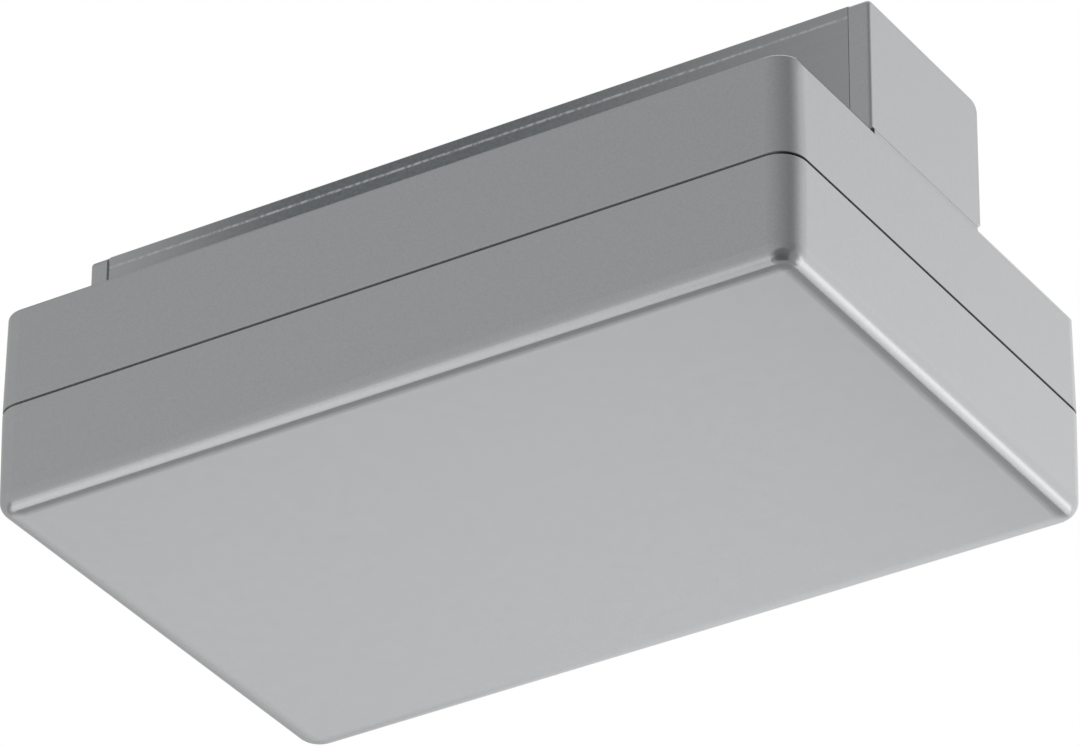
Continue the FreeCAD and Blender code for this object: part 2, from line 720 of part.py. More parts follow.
def make_contact_carrier():
    body = new_body("contact_carrier")
    tongue = sketch_on(body, "YZ_Plane", "tongue_tip")
    rectangle(tongue, ("-tongue_half", "tongue_floor"), ("tongue_half", "tongue_roof"))
    pad(body, tongue, "carrier_start - tongue_tip")
    tip = value("tongue_tip")
    dress(body, "Chamfer", "tongue_nose", lambda edge: abs(edge.BoundBox.XMax - tip) < 1e-4
          and edge.BoundBox.YLength > edge.BoundBox.ZLength)
    block = sketch_on(body, "YZ_Plane", "carrier_start")
    rectangle(block, ("-carrier_half", "floor_top"), ("carrier_half", "-carrier_top"))
    pad(body, block, "carrier_length")
    slots = sketch_on(body, "YZ_Plane", "tongue_tip")
    for side in (-1, 1):
        for contact_row in (-1, 1):
            level = contact_level(contact_row)
            half = "(contact_width / 2 + contact_slot_clearance)"
            rectangle(slots, (f"{side} * (contact_inner - contact_slot_clearance)", f"{level} - {half}"),
                      (f"{side} * (tongue_half + contact_slot_clearance)", f"{level} + {half}"))
    pocket(body, slots, "carrier_end - tongue_tip", back=True)
    head_well = sketch_on(body, "XY_Plane", "tongue_floor")
    circle(head_well, ("clamp_axis", "0"), "clamp_head_diameter + 2 * clamp_clearance")
    pocket(body, head_well, "clamp_head_height + clamp_clearance", back=True)
    shank = sketch_on(body, "XY_Plane", "tongue_floor")
    circle(shank, ("clamp_axis", "0"), "clamp_screw_diameter + 2 * running_clearance")
    pocket(body, shank, "tongue_height", back=True)
    nut_well = sketch_on(body, "XY_Plane", "clamp_shelf_top")
    middle_rectangle(nut_well, ("clamp_axis", "0"), "clamp_plate_size + 2 * clamp_clearance",
                     "clamp_plate_size + 2 * clamp_clearance")
    pocket(body, nut_well, "tongue_height", back=True)
    pilots = sketch_on(body, "XY_Plane", "floor_top")
    circles(pilots, CARRIER_SCREW_PLACES, "screw_diameter + screw_fit")
    pocket(body, pilots, "carrier_screw_reach - box_wall - channel_floor + screw_fit", back=True)
    return keep(body)


def make_contact(label, side, contact_row):
    """Make a strip that runs down the tongue, bows out at the tip and ends in a wire ferrule."""
    body = new_body(label, z=contact_level(contact_row))
    bow_start = "tongue_tip + contact_tip"
    bow_end = f"{bow_start} + contact_bow_length"
    line = [("tongue_tip + contact_tip / 2", "0"), (bow_start, "0"),
            (f"{bow_start} + contact_bow_ramp", "contact_bow"),
            (f"{bow_end} - contact_bow_ramp", "contact_bow"),
            (bow_end, "0"), ("carrier_end + contact_tail", "0")]
    outer = [(x, f"{side} * (contact_outer + {rise})") for x, rise in line]
    inner = [(x, f"{side} * (contact_inner + {rise})") for x, rise in reversed(line)]
    strip = sketch_on(body, "XY_Plane", "-contact_width / 2")
    outline(strip, outer + inner)
    pad(body, strip, "contact_width")
    ferrule = sketch_on(body, "YZ_Plane", "carrier_end + contact_tail")
    circle(ferrule, (f"{side} * contact_line", "0"), "ferrule_diameter")
    pad(body, ferrule, "ferrule_length")
    bore = sketch_on(body, "YZ_Plane", "wire_start")
    circle(bore, (f"{side} * contact_line", "0"), "wire_diameter + 2 * wire_clearance")
    pocket(body, bore, "wire_grip", back=True)
    return keep(body)


def make_earth_contact():
    """Make the leaf that bows up on the tongue, hooks over the carrier and presses on the top plate."""
    body = new_body("earth_contact")
    bow_start = "clamp_axis + clamp_plate_size / 2 + 2 * clamp_clearance"
    bow_end = f"{bow_start} + earth_leaf_bow"
    seat = "carrier_start + earth_leaf_seat"
    rest = "-carrier_top"
    pressed = "plate_under - earth_leaf_thickness"
    crest = "tongue_roof + earth_leaf_rise"
    tongue_run = [(bow_start, "tongue_roof"), (f"{bow_start} + earth_leaf_ramp", crest),
                  (f"{bow_end} - earth_leaf_ramp", crest), (bow_end, "tongue_roof")]
    carrier_run = [(seat, rest), (f"{seat} + earth_leaf_ramp", pressed),
                   (f"{seat} + 3 * earth_leaf_ramp", pressed), (f"{seat} + 4 * earth_leaf_ramp", rest)]
    lower = tongue_run + [("carrier_start", "tongue_roof"), ("carrier_start", rest)] + carrier_run
    shifts = ["0"] * len(tongue_run) + ["earth_leaf_thickness"] * 2 + ["0"] * len(carrier_run)
    upper = [(f"{x} - {shift}", f"{z} + earth_leaf_thickness") for (x, z), shift in zip(lower, shifts)]
    leaf = sketch_on(body, "XZ_Plane", "-earth_leaf_width / 2")
    outline(leaf, lower + upper[::-1])
    pad(body, leaf, "earth_leaf_width")
    return keep(body)


def make_track_clamp():
    """Make the captive screw, its retaining ring and the nut plate that rises as it turns."""
    screw = new_body("track_clamp_screw", x="clamp_axis")
    turned = sketch_on(screw, "XZ_Plane")
    head_floor = "clamp_shelf_floor - clamp_head_height"
    half = "clamp_screw_diameter / 2"
    outline(turned, [("0", head_floor), ("clamp_head_diameter / 2", head_floor),
                     ("clamp_head_diameter / 2", "clamp_shelf_floor"), (half, "clamp_shelf_floor"),
                     (half, "tongue_roof"), ("0", "tongue_roof")])
    revolve(screw, turned)
    drive = sketch_on(screw, "XY_Plane", head_floor)
    middle_rectangle(drive, ("0", "0"), "clamp_head_diameter", "clamp_slot")
    pocket(screw, drive, "clamp_head_height / 2", back=True)
    keep(screw)
    ring = new_body("track_clamp_ring", x="clamp_axis", z="clamp_ring_floor")
    washer = sketch_on(ring, "XY_Plane")
    circle(washer, ("0", "0"), "clamp_ring_diameter")
    circle(washer, ("0", "0"), "clamp_screw_diameter + running_clearance")
    pad(ring, washer, "clamp_ring_height")
    keep(ring)
    plate = new_body("track_clamp_plate", x="clamp_axis", z="clamp_plate_floor")
    nut = sketch_on(plate, "XY_Plane")
    middle_rectangle(nut, ("0", "0"), "clamp_plate_size", "clamp_plate_size")
    circle(nut, ("0", "0"), "clamp_screw_diameter + 2 * running_clearance")
    pad(plate, nut, "clamp_plate_height")
    keep(plate)


def pole_place(pole):
    return f"{pole} * terminal_pitch"


def make_terminal_block():
    body = new_body("terminal_block", y="terminal_mid", z="terminal_top")
    front = sketch_on(body, "XZ_Plane", "-terminal_width / 2")
    right = [("terminal_half", "0"), ("terminal_half", "-terminal_ear_height"),
             ("terminal_body", "-terminal_ear_height"), ("terminal_body", "-terminal_height")]
    left = [(f"-{x}", z) for x, z in reversed(right)]
    outline(front, right + left)
    pad(body, front, "terminal_width")
    foot = value("-terminal_height")
    dress(body, "Chamfer", "terminal_chamfer", lambda edge: abs(edge.BoundBox.ZMax - foot) < 1e-4
          and edge.BoundBox.XLength > edge.BoundBox.YLength)
    grooves = sketch_on(body, "XY_Plane", "-terminal_height")
    for gap in range(4):
        middle = (f"({gap} - 1.5) * terminal_pitch", "0")
        middle_rectangle(grooves, middle, "terminal_groove", "terminal_width + terminal_groove")
    pocket(body, grooves, "terminal_chamfer", back=True)
    ears = sketch_on(body, "XY_Plane", "0")
    circles(ears, [(f"{end} * terminal_screw_place", "0") for end in (-1, 1)], "screw_diameter + screw_fit")
    pocket(body, ears, "terminal_ear_height")
    chambers = sketch_on(body, "XY_Plane", "-chamber_roof")
    wells = sketch_on(body, "XY_Plane", "-terminal_height")
    for pole in POLES:
        middle_rectangle(chambers, (pole_place(pole), "0"), "chamber_width", "2 * chamber_half")
        middle_rectangle(wells, (pole_place(pole), "button_center"), "button_width + 2 * button_clearance",
                         "button_depth + 2 * button_clearance")
    pocket(body, chambers, "chamber_height")
    pocket(body, wells, "terminal_height - chamber_floor", back=True)
    entries = sketch_on(body, "XZ_Plane", "terminal_width / 2")
    entry_places = [(pole_place(pole), "-wire_drop") for pole in POLES]
    circles(entries, entry_places, "wire_hole")
    pocket(body, entries, "terminal_width")
    for side, back in ((1, False), (-1, True)):
        funnels = sketch_on(body, "XZ_Plane", f"{side} * terminal_width / 2")
        circles(funnels, entry_places, "wire_hole + 2 * wire_funnel")
        pocket(body, funnels, "wire_funnel", back=back, draft="-45")
    return keep(body)


def make_terminal_inserts():
    """Make the five busbars and the five two-armed clamp springs inside the terminal block."""
    busbar = new_body("busbar_piece")
    strip = sketch_on(busbar, "XY_Plane")
    middle_rectangle(strip, ("0", "0"), "chamber_width - 2 * busbar_clearance",
                     "2 * (chamber_half - busbar_clearance)")
    middle_rectangle(strip, ("0", "button_center"), "button_stem_width + 2 * button_clearance",
                     "button_stem_depth + 4 * button_clearance")
    pad(busbar, strip, "busbar_height")
    level = "terminal_top - chamber_floor"
    copies("busbars", busbar, [(pole_place(pole), "terminal_mid", level) for pole in POLES])
    spring = new_body("clamp_spring_piece")
    leaf = sketch_on(spring, "YZ_Plane", "-spring_width / 2")
    seat = "spring_seat / 2"
    tip = "chamber_half - chamber_wall"
    tip_rise = "chamber_roof - clamp_tip_drop"
    right = [(seat, "0"), (f"{tip} + spring_thickness / 2", f"{tip_rise} + spring_thickness"),
             (tip, tip_rise), (seat, "-spring_thickness")]
    left = [(f"-({y})", z) for y, z in reversed(right)]
    outline(leaf, right + left)
    pad(spring, leaf, "spring_width")
    roof = "terminal_top - chamber_roof"
    copies("clamp_springs", spring, [(pole_place(pole), "terminal_mid", roof) for pole in POLES])


def make_release_button(number, pole):
    body = new_body(f"release_button_{number}", x=pole_place(pole), y="terminal_mid + button_center",
                    z="terminal_top - terminal_height")
    head = sketch_on(body, "XY_Plane", "-button_proud")
    middle_rectangle(head, ("0", "0"), "button_width", "button_depth")
    pad(body, head, "terminal_height - chamber_floor - button_travel - button_clearance + button_proud")
    dress(body, "Chamfer", "button_clearance", at_level("-button_proud"))
    stem = sketch_on(body, "XY_Plane", "0")
    middle_rectangle(stem, ("0", "0"), "button_stem_width", "button_stem_depth")
    pad(body, stem, "terminal_height - wire_drop - button_travel + wire_diameter / 2 - busbar_height")
    slot = sketch_on(body, "XY_Plane", "-button_proud")
    middle_rectangle(slot, ("0", "0"), "button_slot", "button_depth")
    pocket(body, slot, "button_slot", back=True)
    return keep(body)


def make_wire(label, points, bend):
    """Make a round wire along straight runs joined by tangent arcs of one bend radius."""
    route = [FreeCAD.Vector(*(value(text) for text in point)) for point in points]
    radius = value(bend)
    edges = []
    start = route[0]
    for before, corner, after in zip(route, route[1:], route[2:]):
        back = (before - corner).normalize()
        ahead = (after - corner).normalize()
        half_angle = back.getAngle(ahead) / 2
        reach = radius / math.tan(half_angle)
        bisector = (back + ahead).normalize()
        middle = corner + bisector * (radius / math.sin(half_angle) - radius)
        edges.append(Part.LineSegment(start, corner + back * reach).toShape())
        edges.append(Part.Arc(corner + back * reach, middle, corner + ahead * reach).toShape())
        start = corner + ahead * reach
    edges.append(Part.LineSegment(start, route[-1]).toShape())
    path = Part.Wire(edges)
    section = Part.Wire(Part.makeCircle(value("wire_diameter") / 2, route[0], route[1] - route[0]))
    tube = path.makePipeShell([section], True, False)
    expected = math.pi * value("wire_diameter") ** 2 / 4 * path.Length
    if abs(tube.Volume / expected - 1) > 0.01:
        raise RuntimeError(f"{label}: the swept volume is {tube.Volume:.1f}, not {expected:.1f}")
    node = doc.addObject("Part::Feature", label)
    node.Label = label
    node.Shape = tube
    return keep(node)


def make_wires():
    """Lead each contact's wire along the channel, down the slot and into its terminal pole."""
    entry = "terminal_front + wire_grip"
    runs = (("wire_l1", -1, -1, -2), ("wire_l2", 1, -1, -1), ("wire_l3", -1, 1, 0), ("wire_n", 1, 1, 1))
    for label, side, contact_row, pole in runs:
        across = f"{side} * contact_line"
        level = contact_level(contact_row)
        place = pole_place(pole)
        points = [("wire_start", across, level), (place, across, level), (place, across, "wire_level"),
                  (place, entry, "wire_level")]
        make_wire(label, points, "wire_bend")
    ring_end = "earth_position - earth_ring_diameter / 2 - earth_barrel_length + wire_grip"
    place = pole_place(2)
    points = [(ring_end, "-earth_side", "earth_wire_level"), (place, "-earth_side", "earth_wire_level"),
              (place, "earth_wire_rise", "wire_level"), (place, entry, "wire_level")]
    make_wire("wire_pe", points, "wire_bend")


def make_earth_connection():
    pillar = new_body("earth_pillar", x="earth_position", y="-earth_side", z="base_top")
    hexagon = sketch_on(pillar, "XY_Plane")
    outline(hexagon, [(f"earth_corner * cos({turn})", f"earth_corner * sin({turn})")
                      for turn in range(0, 360, 60)])
    pad(pillar, hexagon, "earth_pillar_drop", back=True)
    stud = sketch_on(pillar, "XY_Plane")
    circle(stud, ("0", "0"), "screw_diameter")
    pad(pillar, stud, "channel_floor")
    tap = sketch_on(pillar, "XY_Plane", "-earth_pillar_drop")
    circle(tap, ("0", "0"), "screw_diameter + screw_fit")
    pocket(pillar, tap, "earth_screw_reach", back=True)
    keep(pillar)
    ring = new_body("earth_ring", x="earth_position", y="-earth_side", z="earth_foot")
    tongue = sketch_on(ring, "XY_Plane")
    circle(tongue, ("0", "0"), "earth_ring_diameter")
    circle(tongue, ("0", "0"), "screw_diameter + screw_fit")
    pad(ring, tongue, "earth_ring_thickness", back=True)
    barrel_start = "-earth_ring_diameter / 2 + earth_ring_thickness / 2"
    barrel = sketch_on(ring, "YZ_Plane", barrel_start)
    middle = ("0", "earth_barrel_level")
    circle(barrel, middle, "ferrule_diameter")
    pad(ring, barrel, "earth_barrel_length + earth_ring_thickness / 2", back=True)
    bore = sketch_on(ring, "YZ_Plane", "-earth_ring_diameter / 2 - earth_barrel_length")
    circle(bore, middle, "wire_diameter + 2 * wire_clearance")
    pocket(ring, bore, "wire_grip", back=True)
    keep(ring)


def make_cable_grommet():
    body = new_body("cable_grommet", x="cable_position")
    ring = sketch_on(body, "XZ_Plane")
    neck = "grommet_hole / 2 - grommet_clearance"
    foot = "plate_under - grommet_flange_height"
    outline(ring, [("cable_bore / 2 + grommet_edge", "0"), (neck, "0"), (neck, "plate_under"),
                   ("grommet_flange / 2", "plate_under"), ("grommet_flange / 2", f"{foot} + grommet_edge"),
                   ("grommet_flange / 2 - grommet_edge", foot), ("cable_bore / 2 + grommet_edge", foot),
                   ("cable_bore / 2", f"{foot} + grommet_edge"), ("cable_bore / 2", "-grommet_edge")])
    revolve(body, ring)
    return keep(body)


def make_cord_grip_bar():
    body = new_body("cord_grip_bar", x="cable_position", y="grip_side", z="grip_bar_top")
    bar = sketch_on(body, "XZ_Plane", "-grip_depth / 2")
    half = "grip_pitch / 2 + grip_end"
    right = [("grip_cable / 6", "-grip_notch_depth"), ("grip_cable / 3", "0"), (half, "0"),
             (half, "grip_bar_edge - grip_bar_height"), (f"{half} - grip_bar_edge", "-grip_bar_height")]
    left = [(f"-({x})", z) for x, z in reversed(right)]
    outline(bar, right + left)
    pad(body, bar, "grip_depth")
    holes = sketch_on(body, "XY_Plane")
    circles(holes, [(f"{end} * grip_pitch / 2", "0") for end in (-1, 1)], "screw_diameter + screw_fit")
    pocket(body, holes, "2 * grip_bar_height")
    return keep(body)


def make_cover_clips():
    """Make the four spring clips whose legs close on the cover's blades, and their rivets."""
    clip = new_body("cover_clip_piece")
    section = sketch_on(clip, "YZ_Plane", "-clip_length / 2")
    gap = "blade_thickness / 2 + clip_clearance"
    right = [("clip_width / 2", "0"), ("clip_width / 2", "-clip_shoulder"),
             (f"{gap} + clip_thickness", "-clip_pinch"),
             (f"{gap} + clip_thickness + clip_flare", "-clip_reach"), (f"{gap} + clip_flare", "-clip_reach"),
             (gap, "-clip_pinch"), ("clip_width / 2 - clip_thickness", "-clip_shoulder"),
             ("clip_width / 2 - clip_thickness", "-clip_thickness")]
    left = [(f"-({y})", z) for y, z in reversed(right)]
    outline(section, right + left)
    pad(clip, section, "clip_length")
    eye = sketch_on(clip, "XY_Plane")
    circle(eye, ("0", "0"), "rivet_diameter + screw_fit")
    pocket(clip, eye, "2 * clip_thickness")
    copies("cover_clips", clip, [(x, y, "clip_web_top") for x, y in CLIP_PLACES])
    rivet = turned_screw("clip_rivet_piece", "rivet_head", "rivet_head_height", "rivet_diameter",
                         "rivet_reach + clip_thickness - screw_fit")
    copies("clip_rivets", rivet, [(x, y, "clip_web_top - clip_thickness") for x, y in CLIP_PLACES])


def turned_screw(label, head, head_height, shank, reach):
    """Make a pan head below its seat with the shank standing up from it."""
    body = new_body(label)
    profile = sketch_on(body, "XZ_Plane")
    outline(profile, [("0", f"-{head_height}"), (f"{head} / 2 - {head_height} / 4", f"-{head_height}"),
                      (f"{head} / 2", f"-{head_height} * 3 / 4"), (f"{head} / 2", "0"), (f"{shank} / 2", "0"),
                      (f"{shank} / 2", reach), ("0", reach)])
    revolve(body, profile)
    return body


def pan_screws(label, reach, places, level):
    """Make a node of slotted pan-head screws whose heads hang below a level."""
    screw = turned_screw(label + "_piece", "screw_head", "screw_head_height", "screw_diameter", reach)
    slot = sketch_on(screw, "XY_Plane", "-screw_head_height")
    middle_rectangle(slot, ("0", "0"), "screw_head", "screw_slot")
    pocket(screw, slot, "screw_head_height / 2", back=True)
    copies(label, screw, [(x, y, level) for x, y in places])


def make_plate_screws():
    screw = new_body("plate_screw_piece")
    profile = sketch_on(screw, "XZ_Plane")
    half = "plate_screw_diameter / 2"
    outline(profile, [("0", "-plate_screw_reach"), (half, "-plate_screw_reach"),
                      (half, "-plate_screw_head_height"), ("plate_screw_head / 2", "0"), ("0", "0")])
    revolve(screw, profile)
    copies("plate_screws", screw, [(x, y, "0") for x, y in PLATE_SCREW_PLACES])


def make_fasteners():
    make_plate_screws()
    pan_screws("channel_screws", "floor_screw_reach", CHANNEL_SCREW_PLACES, "base_inside")
    pan_screws("carrier_screws", "carrier_screw_reach", CARRIER_SCREW_PLACES, "base_inside")
    ear = "terminal_top - terminal_ear_height"
    pan_screws("terminal_screws", "terminal_ear_height + terminal_standoff", TERMINAL_SCREW_PLACES, ear)
    pan_screws("cord_grip_screws", "grip_screw_reach", GRIP_SCREW_PLACES, "grip_bar_top - grip_bar_height")
    pan_screws("earth_screw", "earth_screw_reach", [EARTH_PLACE], "earth_foot - earth_ring_thickness")


def build():
    make_base_housing()
    make_cover()
    make_feed_channel()
    make_top_plate()
    make_closed_end_cap()
    make_track_end_cap()
    make_contact_carrier()
    make_contact("contact_l1", -1, -1)
    make_contact("contact_l2", 1, -1)
    make_contact("contact_l3", -1, 1)
    make_contact("contact_n", 1, 1)
    make_earth_contact()
    make_track_clamp()
    make_terminal_block()
    make_terminal_inserts()
    for number, pole in enumerate(POLES, start=1):
        make_release_button(number, pole)
    make_wires()
    make_earth_connection()
    make_cable_grommet()
    make_cord_grip_bar()
    make_cover_clips()
    make_fasteners()
    doc.recompute()


def check():
    """Stop if anything failed to build, is not a sound solid, or a cut took nothing away."""
    faults = []
    for item in doc.Objects:
        if "Invalid" in item.State or "Error" in item.State:
            faults.append(f"{item.Label} failed: {item.State}")
        elif item.isDerivedFrom("PartDesign::Feature") and item.Shape.isNull():
            faults.append(f"{item.Label} has no shape")
        elif item.isDerivedFrom("PartDesign::Pocket"):
            if item.Shape.Volume > item.BaseFeature.Shape.Volume - 1e-3:
                faults.append(f"{item.Label} cuts nothing")
    for node in NODES:
        if node.Shape.isNull() or not node.Shape.isValid() or not node.Shape.Solids:
            faults.append(f"{node.Label} is not a sound solid")
    if faults:
        raise RuntimeError("; ".join(faults))


def export():
    os.makedirs("parts", exist_ok=True)
    for node in NODES:
        node.Shape.exportStep(f"parts/{node.Label}.step")
        print(node.Label, len(node.Shape.Solids), round(node.Shape.Volume, 1))


build()
check()
export()
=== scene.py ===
import json
import math

import bpy
from mathutils import Matrix, Vector


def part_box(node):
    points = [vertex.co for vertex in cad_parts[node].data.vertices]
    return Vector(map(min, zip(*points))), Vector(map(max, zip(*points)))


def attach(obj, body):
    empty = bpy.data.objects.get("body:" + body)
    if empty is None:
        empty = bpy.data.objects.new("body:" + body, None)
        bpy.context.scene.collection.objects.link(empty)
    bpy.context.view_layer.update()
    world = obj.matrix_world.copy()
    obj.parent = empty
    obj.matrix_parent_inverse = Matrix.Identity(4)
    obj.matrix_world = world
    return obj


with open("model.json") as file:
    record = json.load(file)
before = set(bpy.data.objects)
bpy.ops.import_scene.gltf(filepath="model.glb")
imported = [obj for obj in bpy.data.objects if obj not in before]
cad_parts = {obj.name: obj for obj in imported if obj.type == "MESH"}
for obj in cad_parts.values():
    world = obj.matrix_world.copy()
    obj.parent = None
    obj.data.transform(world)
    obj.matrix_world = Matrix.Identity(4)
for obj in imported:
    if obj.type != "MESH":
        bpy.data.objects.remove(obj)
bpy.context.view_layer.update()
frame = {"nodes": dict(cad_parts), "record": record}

MM = 0.001
MICRON = 0.000001
BLACK = (0, 0, 0, 1)
WHITE = (1, 1, 1, 1)

# Colour sockets of a Mix node, by number because its other sockets have the same names.
MIX_START = 6
MIX_END = 7
MIX_RESULT = 2

# Camera, fitted to the photograph: it looks up at the part from the front right. Angles are in degrees.
CAMERA_TARGET = Vector((-0.97, 5.72, -33.65)) * MM
CAMERA_DISTANCE = 1264.1 * MM
CAMERA_AZIMUTH = 31.993
CAMERA_ELEVATION = -31.690
CAMERA_ROLL = 0.302
CAMERA_LENS = 255.27
CAMERA_SENSOR = 36
CAMERA_NEAR = 0.05
CAMERA_FAR = 50

# Studio, in metres and shares of white: the part hangs well above a pale floor.
FLOOR_Z = -3.2
FLOOR_SIZE = 20.0
FLOOR_COLOUR = (0.80, 0.80, 0.80, 1)
FLOOR_ROUGHNESS = 0.9
FLOOR_LIFT = 0.75
LAMP_Z = -0.9
AMBIENT = 0.5

# Backdrop: its elevations, and the grey at each of them by azimuth.
SWEEP_RADIUS = 1.9
SWEEP_RISE = (-24, 26, 37, 66)
SWEEP = {
    -150: (0.70, 0.64, 0.60, 0.45),
    -122: (0.64, 0.56, 0.50, 0.40),
    -90: (0.64, 0.58, 0.52, 0.40),
    -60: (0.66, 0.65, 0.55, 0.45),
    -32: (0.66, 0.63, 0.53, 0.45),
    0: (0.60, 0.54, 0.48, 0.40),
    35: (0.44, 0.41, 0.41, 0.35),
    62: (0.30, 0.30, 0.38, 0.35),
    76: (0.34, 0.33, 0.40, 0.40),
    98: (0.70, 0.62, 0.60, 0.60),
    114: (0.92, 0.86, 0.80, 0.75),
    134: (1.10, 1.08, 0.84, 0.90),
    180: (1.15, 1.13, 0.86, 1.00),
}

# Seam between base and cover, in metres: its height, the distances from it at which the painted shade in the
# gap ends and is whole, and how far from the part's middle the paler painted shade of the long sides gives
# way to the darker painted shade of the ends.
SEAM_Z = -0.043275
SEAM_SHADE_REACH = (0.00031, 0.00023)
SEAM_ENDS = (0.0720, 0.0745)
PALE_SEAM_SHADE = (0.42, 0.42, 0.43)
DARK_SEAM_SHADE = (0.10, 0.10, 0.105)

# Channel sides, in metres: where the painted shade starts and is whole from either end, the height of the
# rubbed plate joint, and the distances from it at which the rubbing with its painted glint ends and is whole.
PAINTED_SHADE_LEFT = (-0.078, -0.030)
PAINTED_SHADE_RIGHT = (0.100, -0.005)
PLATE_JOINT_Z = -0.0023
RUB_AND_GLINT_REACH = (0.00034, 0.00012)
RUBBED_METAL_AND_GLINT = (0.56, 0.57, 0.58)

# How far a normal has to point sideways for a face to start to count as a side, and to count wholly.
SIDE_FACING = (0.7, 0.95)

# Yellow stripes of the earth wire: the direction that their middle faces, and the cosines to it at which
# their edges start and end.
STRIPE_FACING = (0.50, 0.62, 0.60)
STRIPE_EDGE = (0.48, 0.54)

# Paint beads in the joint at the block's ends, in metres: the bevel of the base, then the bead's lap on the
# cap, its depth, its setback from the cap's face, its hollow and its setback from the cap's corners.
BEVEL_HEIGHT = 0.00100
BEVEL_FOOT = 0.07574
BEAD_LAP = 0.00040
BEAD_DEPTH = 0.00100
BEAD_INSET = 0.00002
BEAD_HOLLOW = 0.00010
BEAD_END = 0.00120
BEAD_STEPS = 10


def spherical(azimuth, elevation):
    """Unit vector from the part; azimuth 0 is the front (-Y) and 90 the right (+X)."""
    a = math.radians(azimuth)
    e = math.radians(elevation)
    return Vector((math.sin(a) * math.cos(e), -math.cos(a) * math.cos(e), math.sin(e)))


def add_object(name, data):
    made = bpy.data.objects.new(name, data)
    bpy.context.scene.collection.objects.link(made)
    return made


def add_mesh(name, vertices, faces):
    mesh = bpy.data.meshes.new(name)
    mesh.from_pydata(vertices, [], faces)
    return add_object(name, mesh)


def add_camera():
    data = bpy.data.cameras.new("camera")
    data.sensor_width = CAMERA_SENSOR
    data.lens = CAMERA_LENS
    data.clip_start = CAMERA_NEAR
    data.clip_end = CAMERA_FAR
    camera = add_object("camera", data)
    back = spherical(CAMERA_AZIMUTH, CAMERA_ELEVATION)
    turn = (-back).to_track_quat("-Z", "Y").to_matrix().to_4x4()
    roll = Matrix.Rotation(math.radians(CAMERA_ROLL), 4, "Z")
    camera.matrix_world = Matrix.Translation(CAMERA_TARGET + back * CAMERA_DISTANCE) @ turn @ roll
    bpy.context.scene.camera = camera


class Shader:
    """A node material in the making: nodes are added by type and wired by socket name."""

    def __init__(self, name):
        self.material = bpy.data.materials.new(name)
        self.material.use_nodes = True
        self.tree = self.material.node_tree
        self.bsdf = self.tree.nodes["Principled BSDF"]

    def node(self, kind, inputs=None, **settings):
        made = self.tree.nodes.new("ShaderNode" + kind)
        for name, setting in settings.items():
            setattr(made, name, setting)
        for socket, source in (inputs or {}).items():
            self.wire(source, made.inputs[socket])
        return made

    def wire(self, source, socket):
        """Feed a socket from another socket, or give it a value; colours may come without their alpha."""
        if isinstance(source, bpy.types.NodeSocket):
            self.tree.links.new(source, socket)
        elif socket.type == "RGBA" and len(source) == 3:
            socket.default_value = (*source, 1)
        else:
            socket.default_value = source

    def set(self, **sockets):
        """Wire the surface's own sockets, with underscores for the spaces in their names."""
        for name, source in sockets.items():
            self.wire(source, self.bsdf.inputs[name.replace("_", " ")])

    def coordinate(self, output="Object"):
        """Position on the piece, in metres, or its normal; both ride with the piece."""
        return self.node("TexCoord").outputs[output]

    def axes(self, output="Object"):
        """X, Y and Z of a position on the piece, or of its normal."""
        return self.node("SeparateXYZ", {0: self.coordinate(output)}).outputs

    def noise(self, scale, detail=3.0, stretch=None):
        """Soft noise from 0 to 1, with about scale blotches to the metre, times stretch along each axis."""
        where = self.coordinate()
        if stretch:
            where = self.node("Mapping", {"Vector": where, "Scale": stretch}).outputs["Vector"]
        return self.node("TexNoise", {"Vector": where, "Scale": scale, "Detail": detail}).outputs["Fac"]

    def cells(self, scale):
        """A random number from 0 to 1 for each small cell of the surface."""
        made = self.node("TexVoronoi", {"Vector": self.coordinate(), "Scale": scale})
        return self.node("SeparateColor", {"Color": made.outputs["Color"]}).outputs["Red"]

    def math(self, operation, first, second=0.0):
        return self.node("Math", {0: first, 1: second}, operation=operation).outputs[0]

    def product(self, first, *others):
        for other in others:
            first = self.math("MULTIPLY", first, other)
        return first

    def distance(self, value, centre):
        """How far a value lies from a centre, on either side."""
        return self.math("ABSOLUTE", self.math("SUBTRACT", value, centre))

    def between(self, factor, low, high):
        """Map a 0 to 1 factor on a range of numbers."""
        return self.node("MapRange", {"Value": factor, "To Min": low, "To Max": high}).outputs["Result"]

    def ramp(self, value, start, end):
        """0 at start and 1 at end, eased between and flat beyond."""
        inputs = {"Value": value, "From Min": start, "From Max": end}
        return self.node("MapRange", inputs, interpolation_type="SMOOTHSTEP").outputs["Result"]

    def shade(self, factor, start, end):
        """Map a 0 to 1 factor on the way from one colour to another."""
        made = self.node("Mix", data_type="RGBA")
        self.wire(factor, made.inputs["Factor"])
        self.wire(start, made.inputs[MIX_START])
        self.wire(end, made.inputs[MIX_END])
        return made.outputs[MIX_RESULT]

    def bump(self, height, depth):
        """Normals of a relief whose heights of 0 to 1 stand for a depth in metres."""
        return self.node("Bump", {"Height": height, "Distance": depth}).outputs["Normal"]


def silver_paint():
    """Satin metallic paint: fine flakes, faint orange peel, a slightly uneven gloss and painted shade in the
    seam.
    """
    s = Shader("silver_housing")
    paint = s.shade(s.cells(scale=6000.0), (0.455, 0.462, 0.470), (0.495, 0.501, 0.508))
    place = s.axes()
    # Painted shade in the seam gap: darker at the ends and paler on the long sides, and not metallic there.
    seam_shade = s.ramp(s.distance(place["Z"], SEAM_Z), *SEAM_SHADE_REACH)
    ends = s.ramp(s.math("ABSOLUTE", place["X"]), *SEAM_ENDS)
    seam_shade_colour = s.shade(ends, PALE_SEAM_SHADE, DARK_SEAM_SHADE)
    s.set(Base_Color=s.shade(seam_shade, paint, seam_shade_colour), Metallic=s.math("SUBTRACT", 1.0, seam_shade))
    s.set(Roughness=s.between(s.noise(scale=350.0), low=0.23, high=0.26))
    s.set(Normal=s.bump(s.noise(scale=900.0, detail=2.0), depth=4 * MICRON))
    return s.material


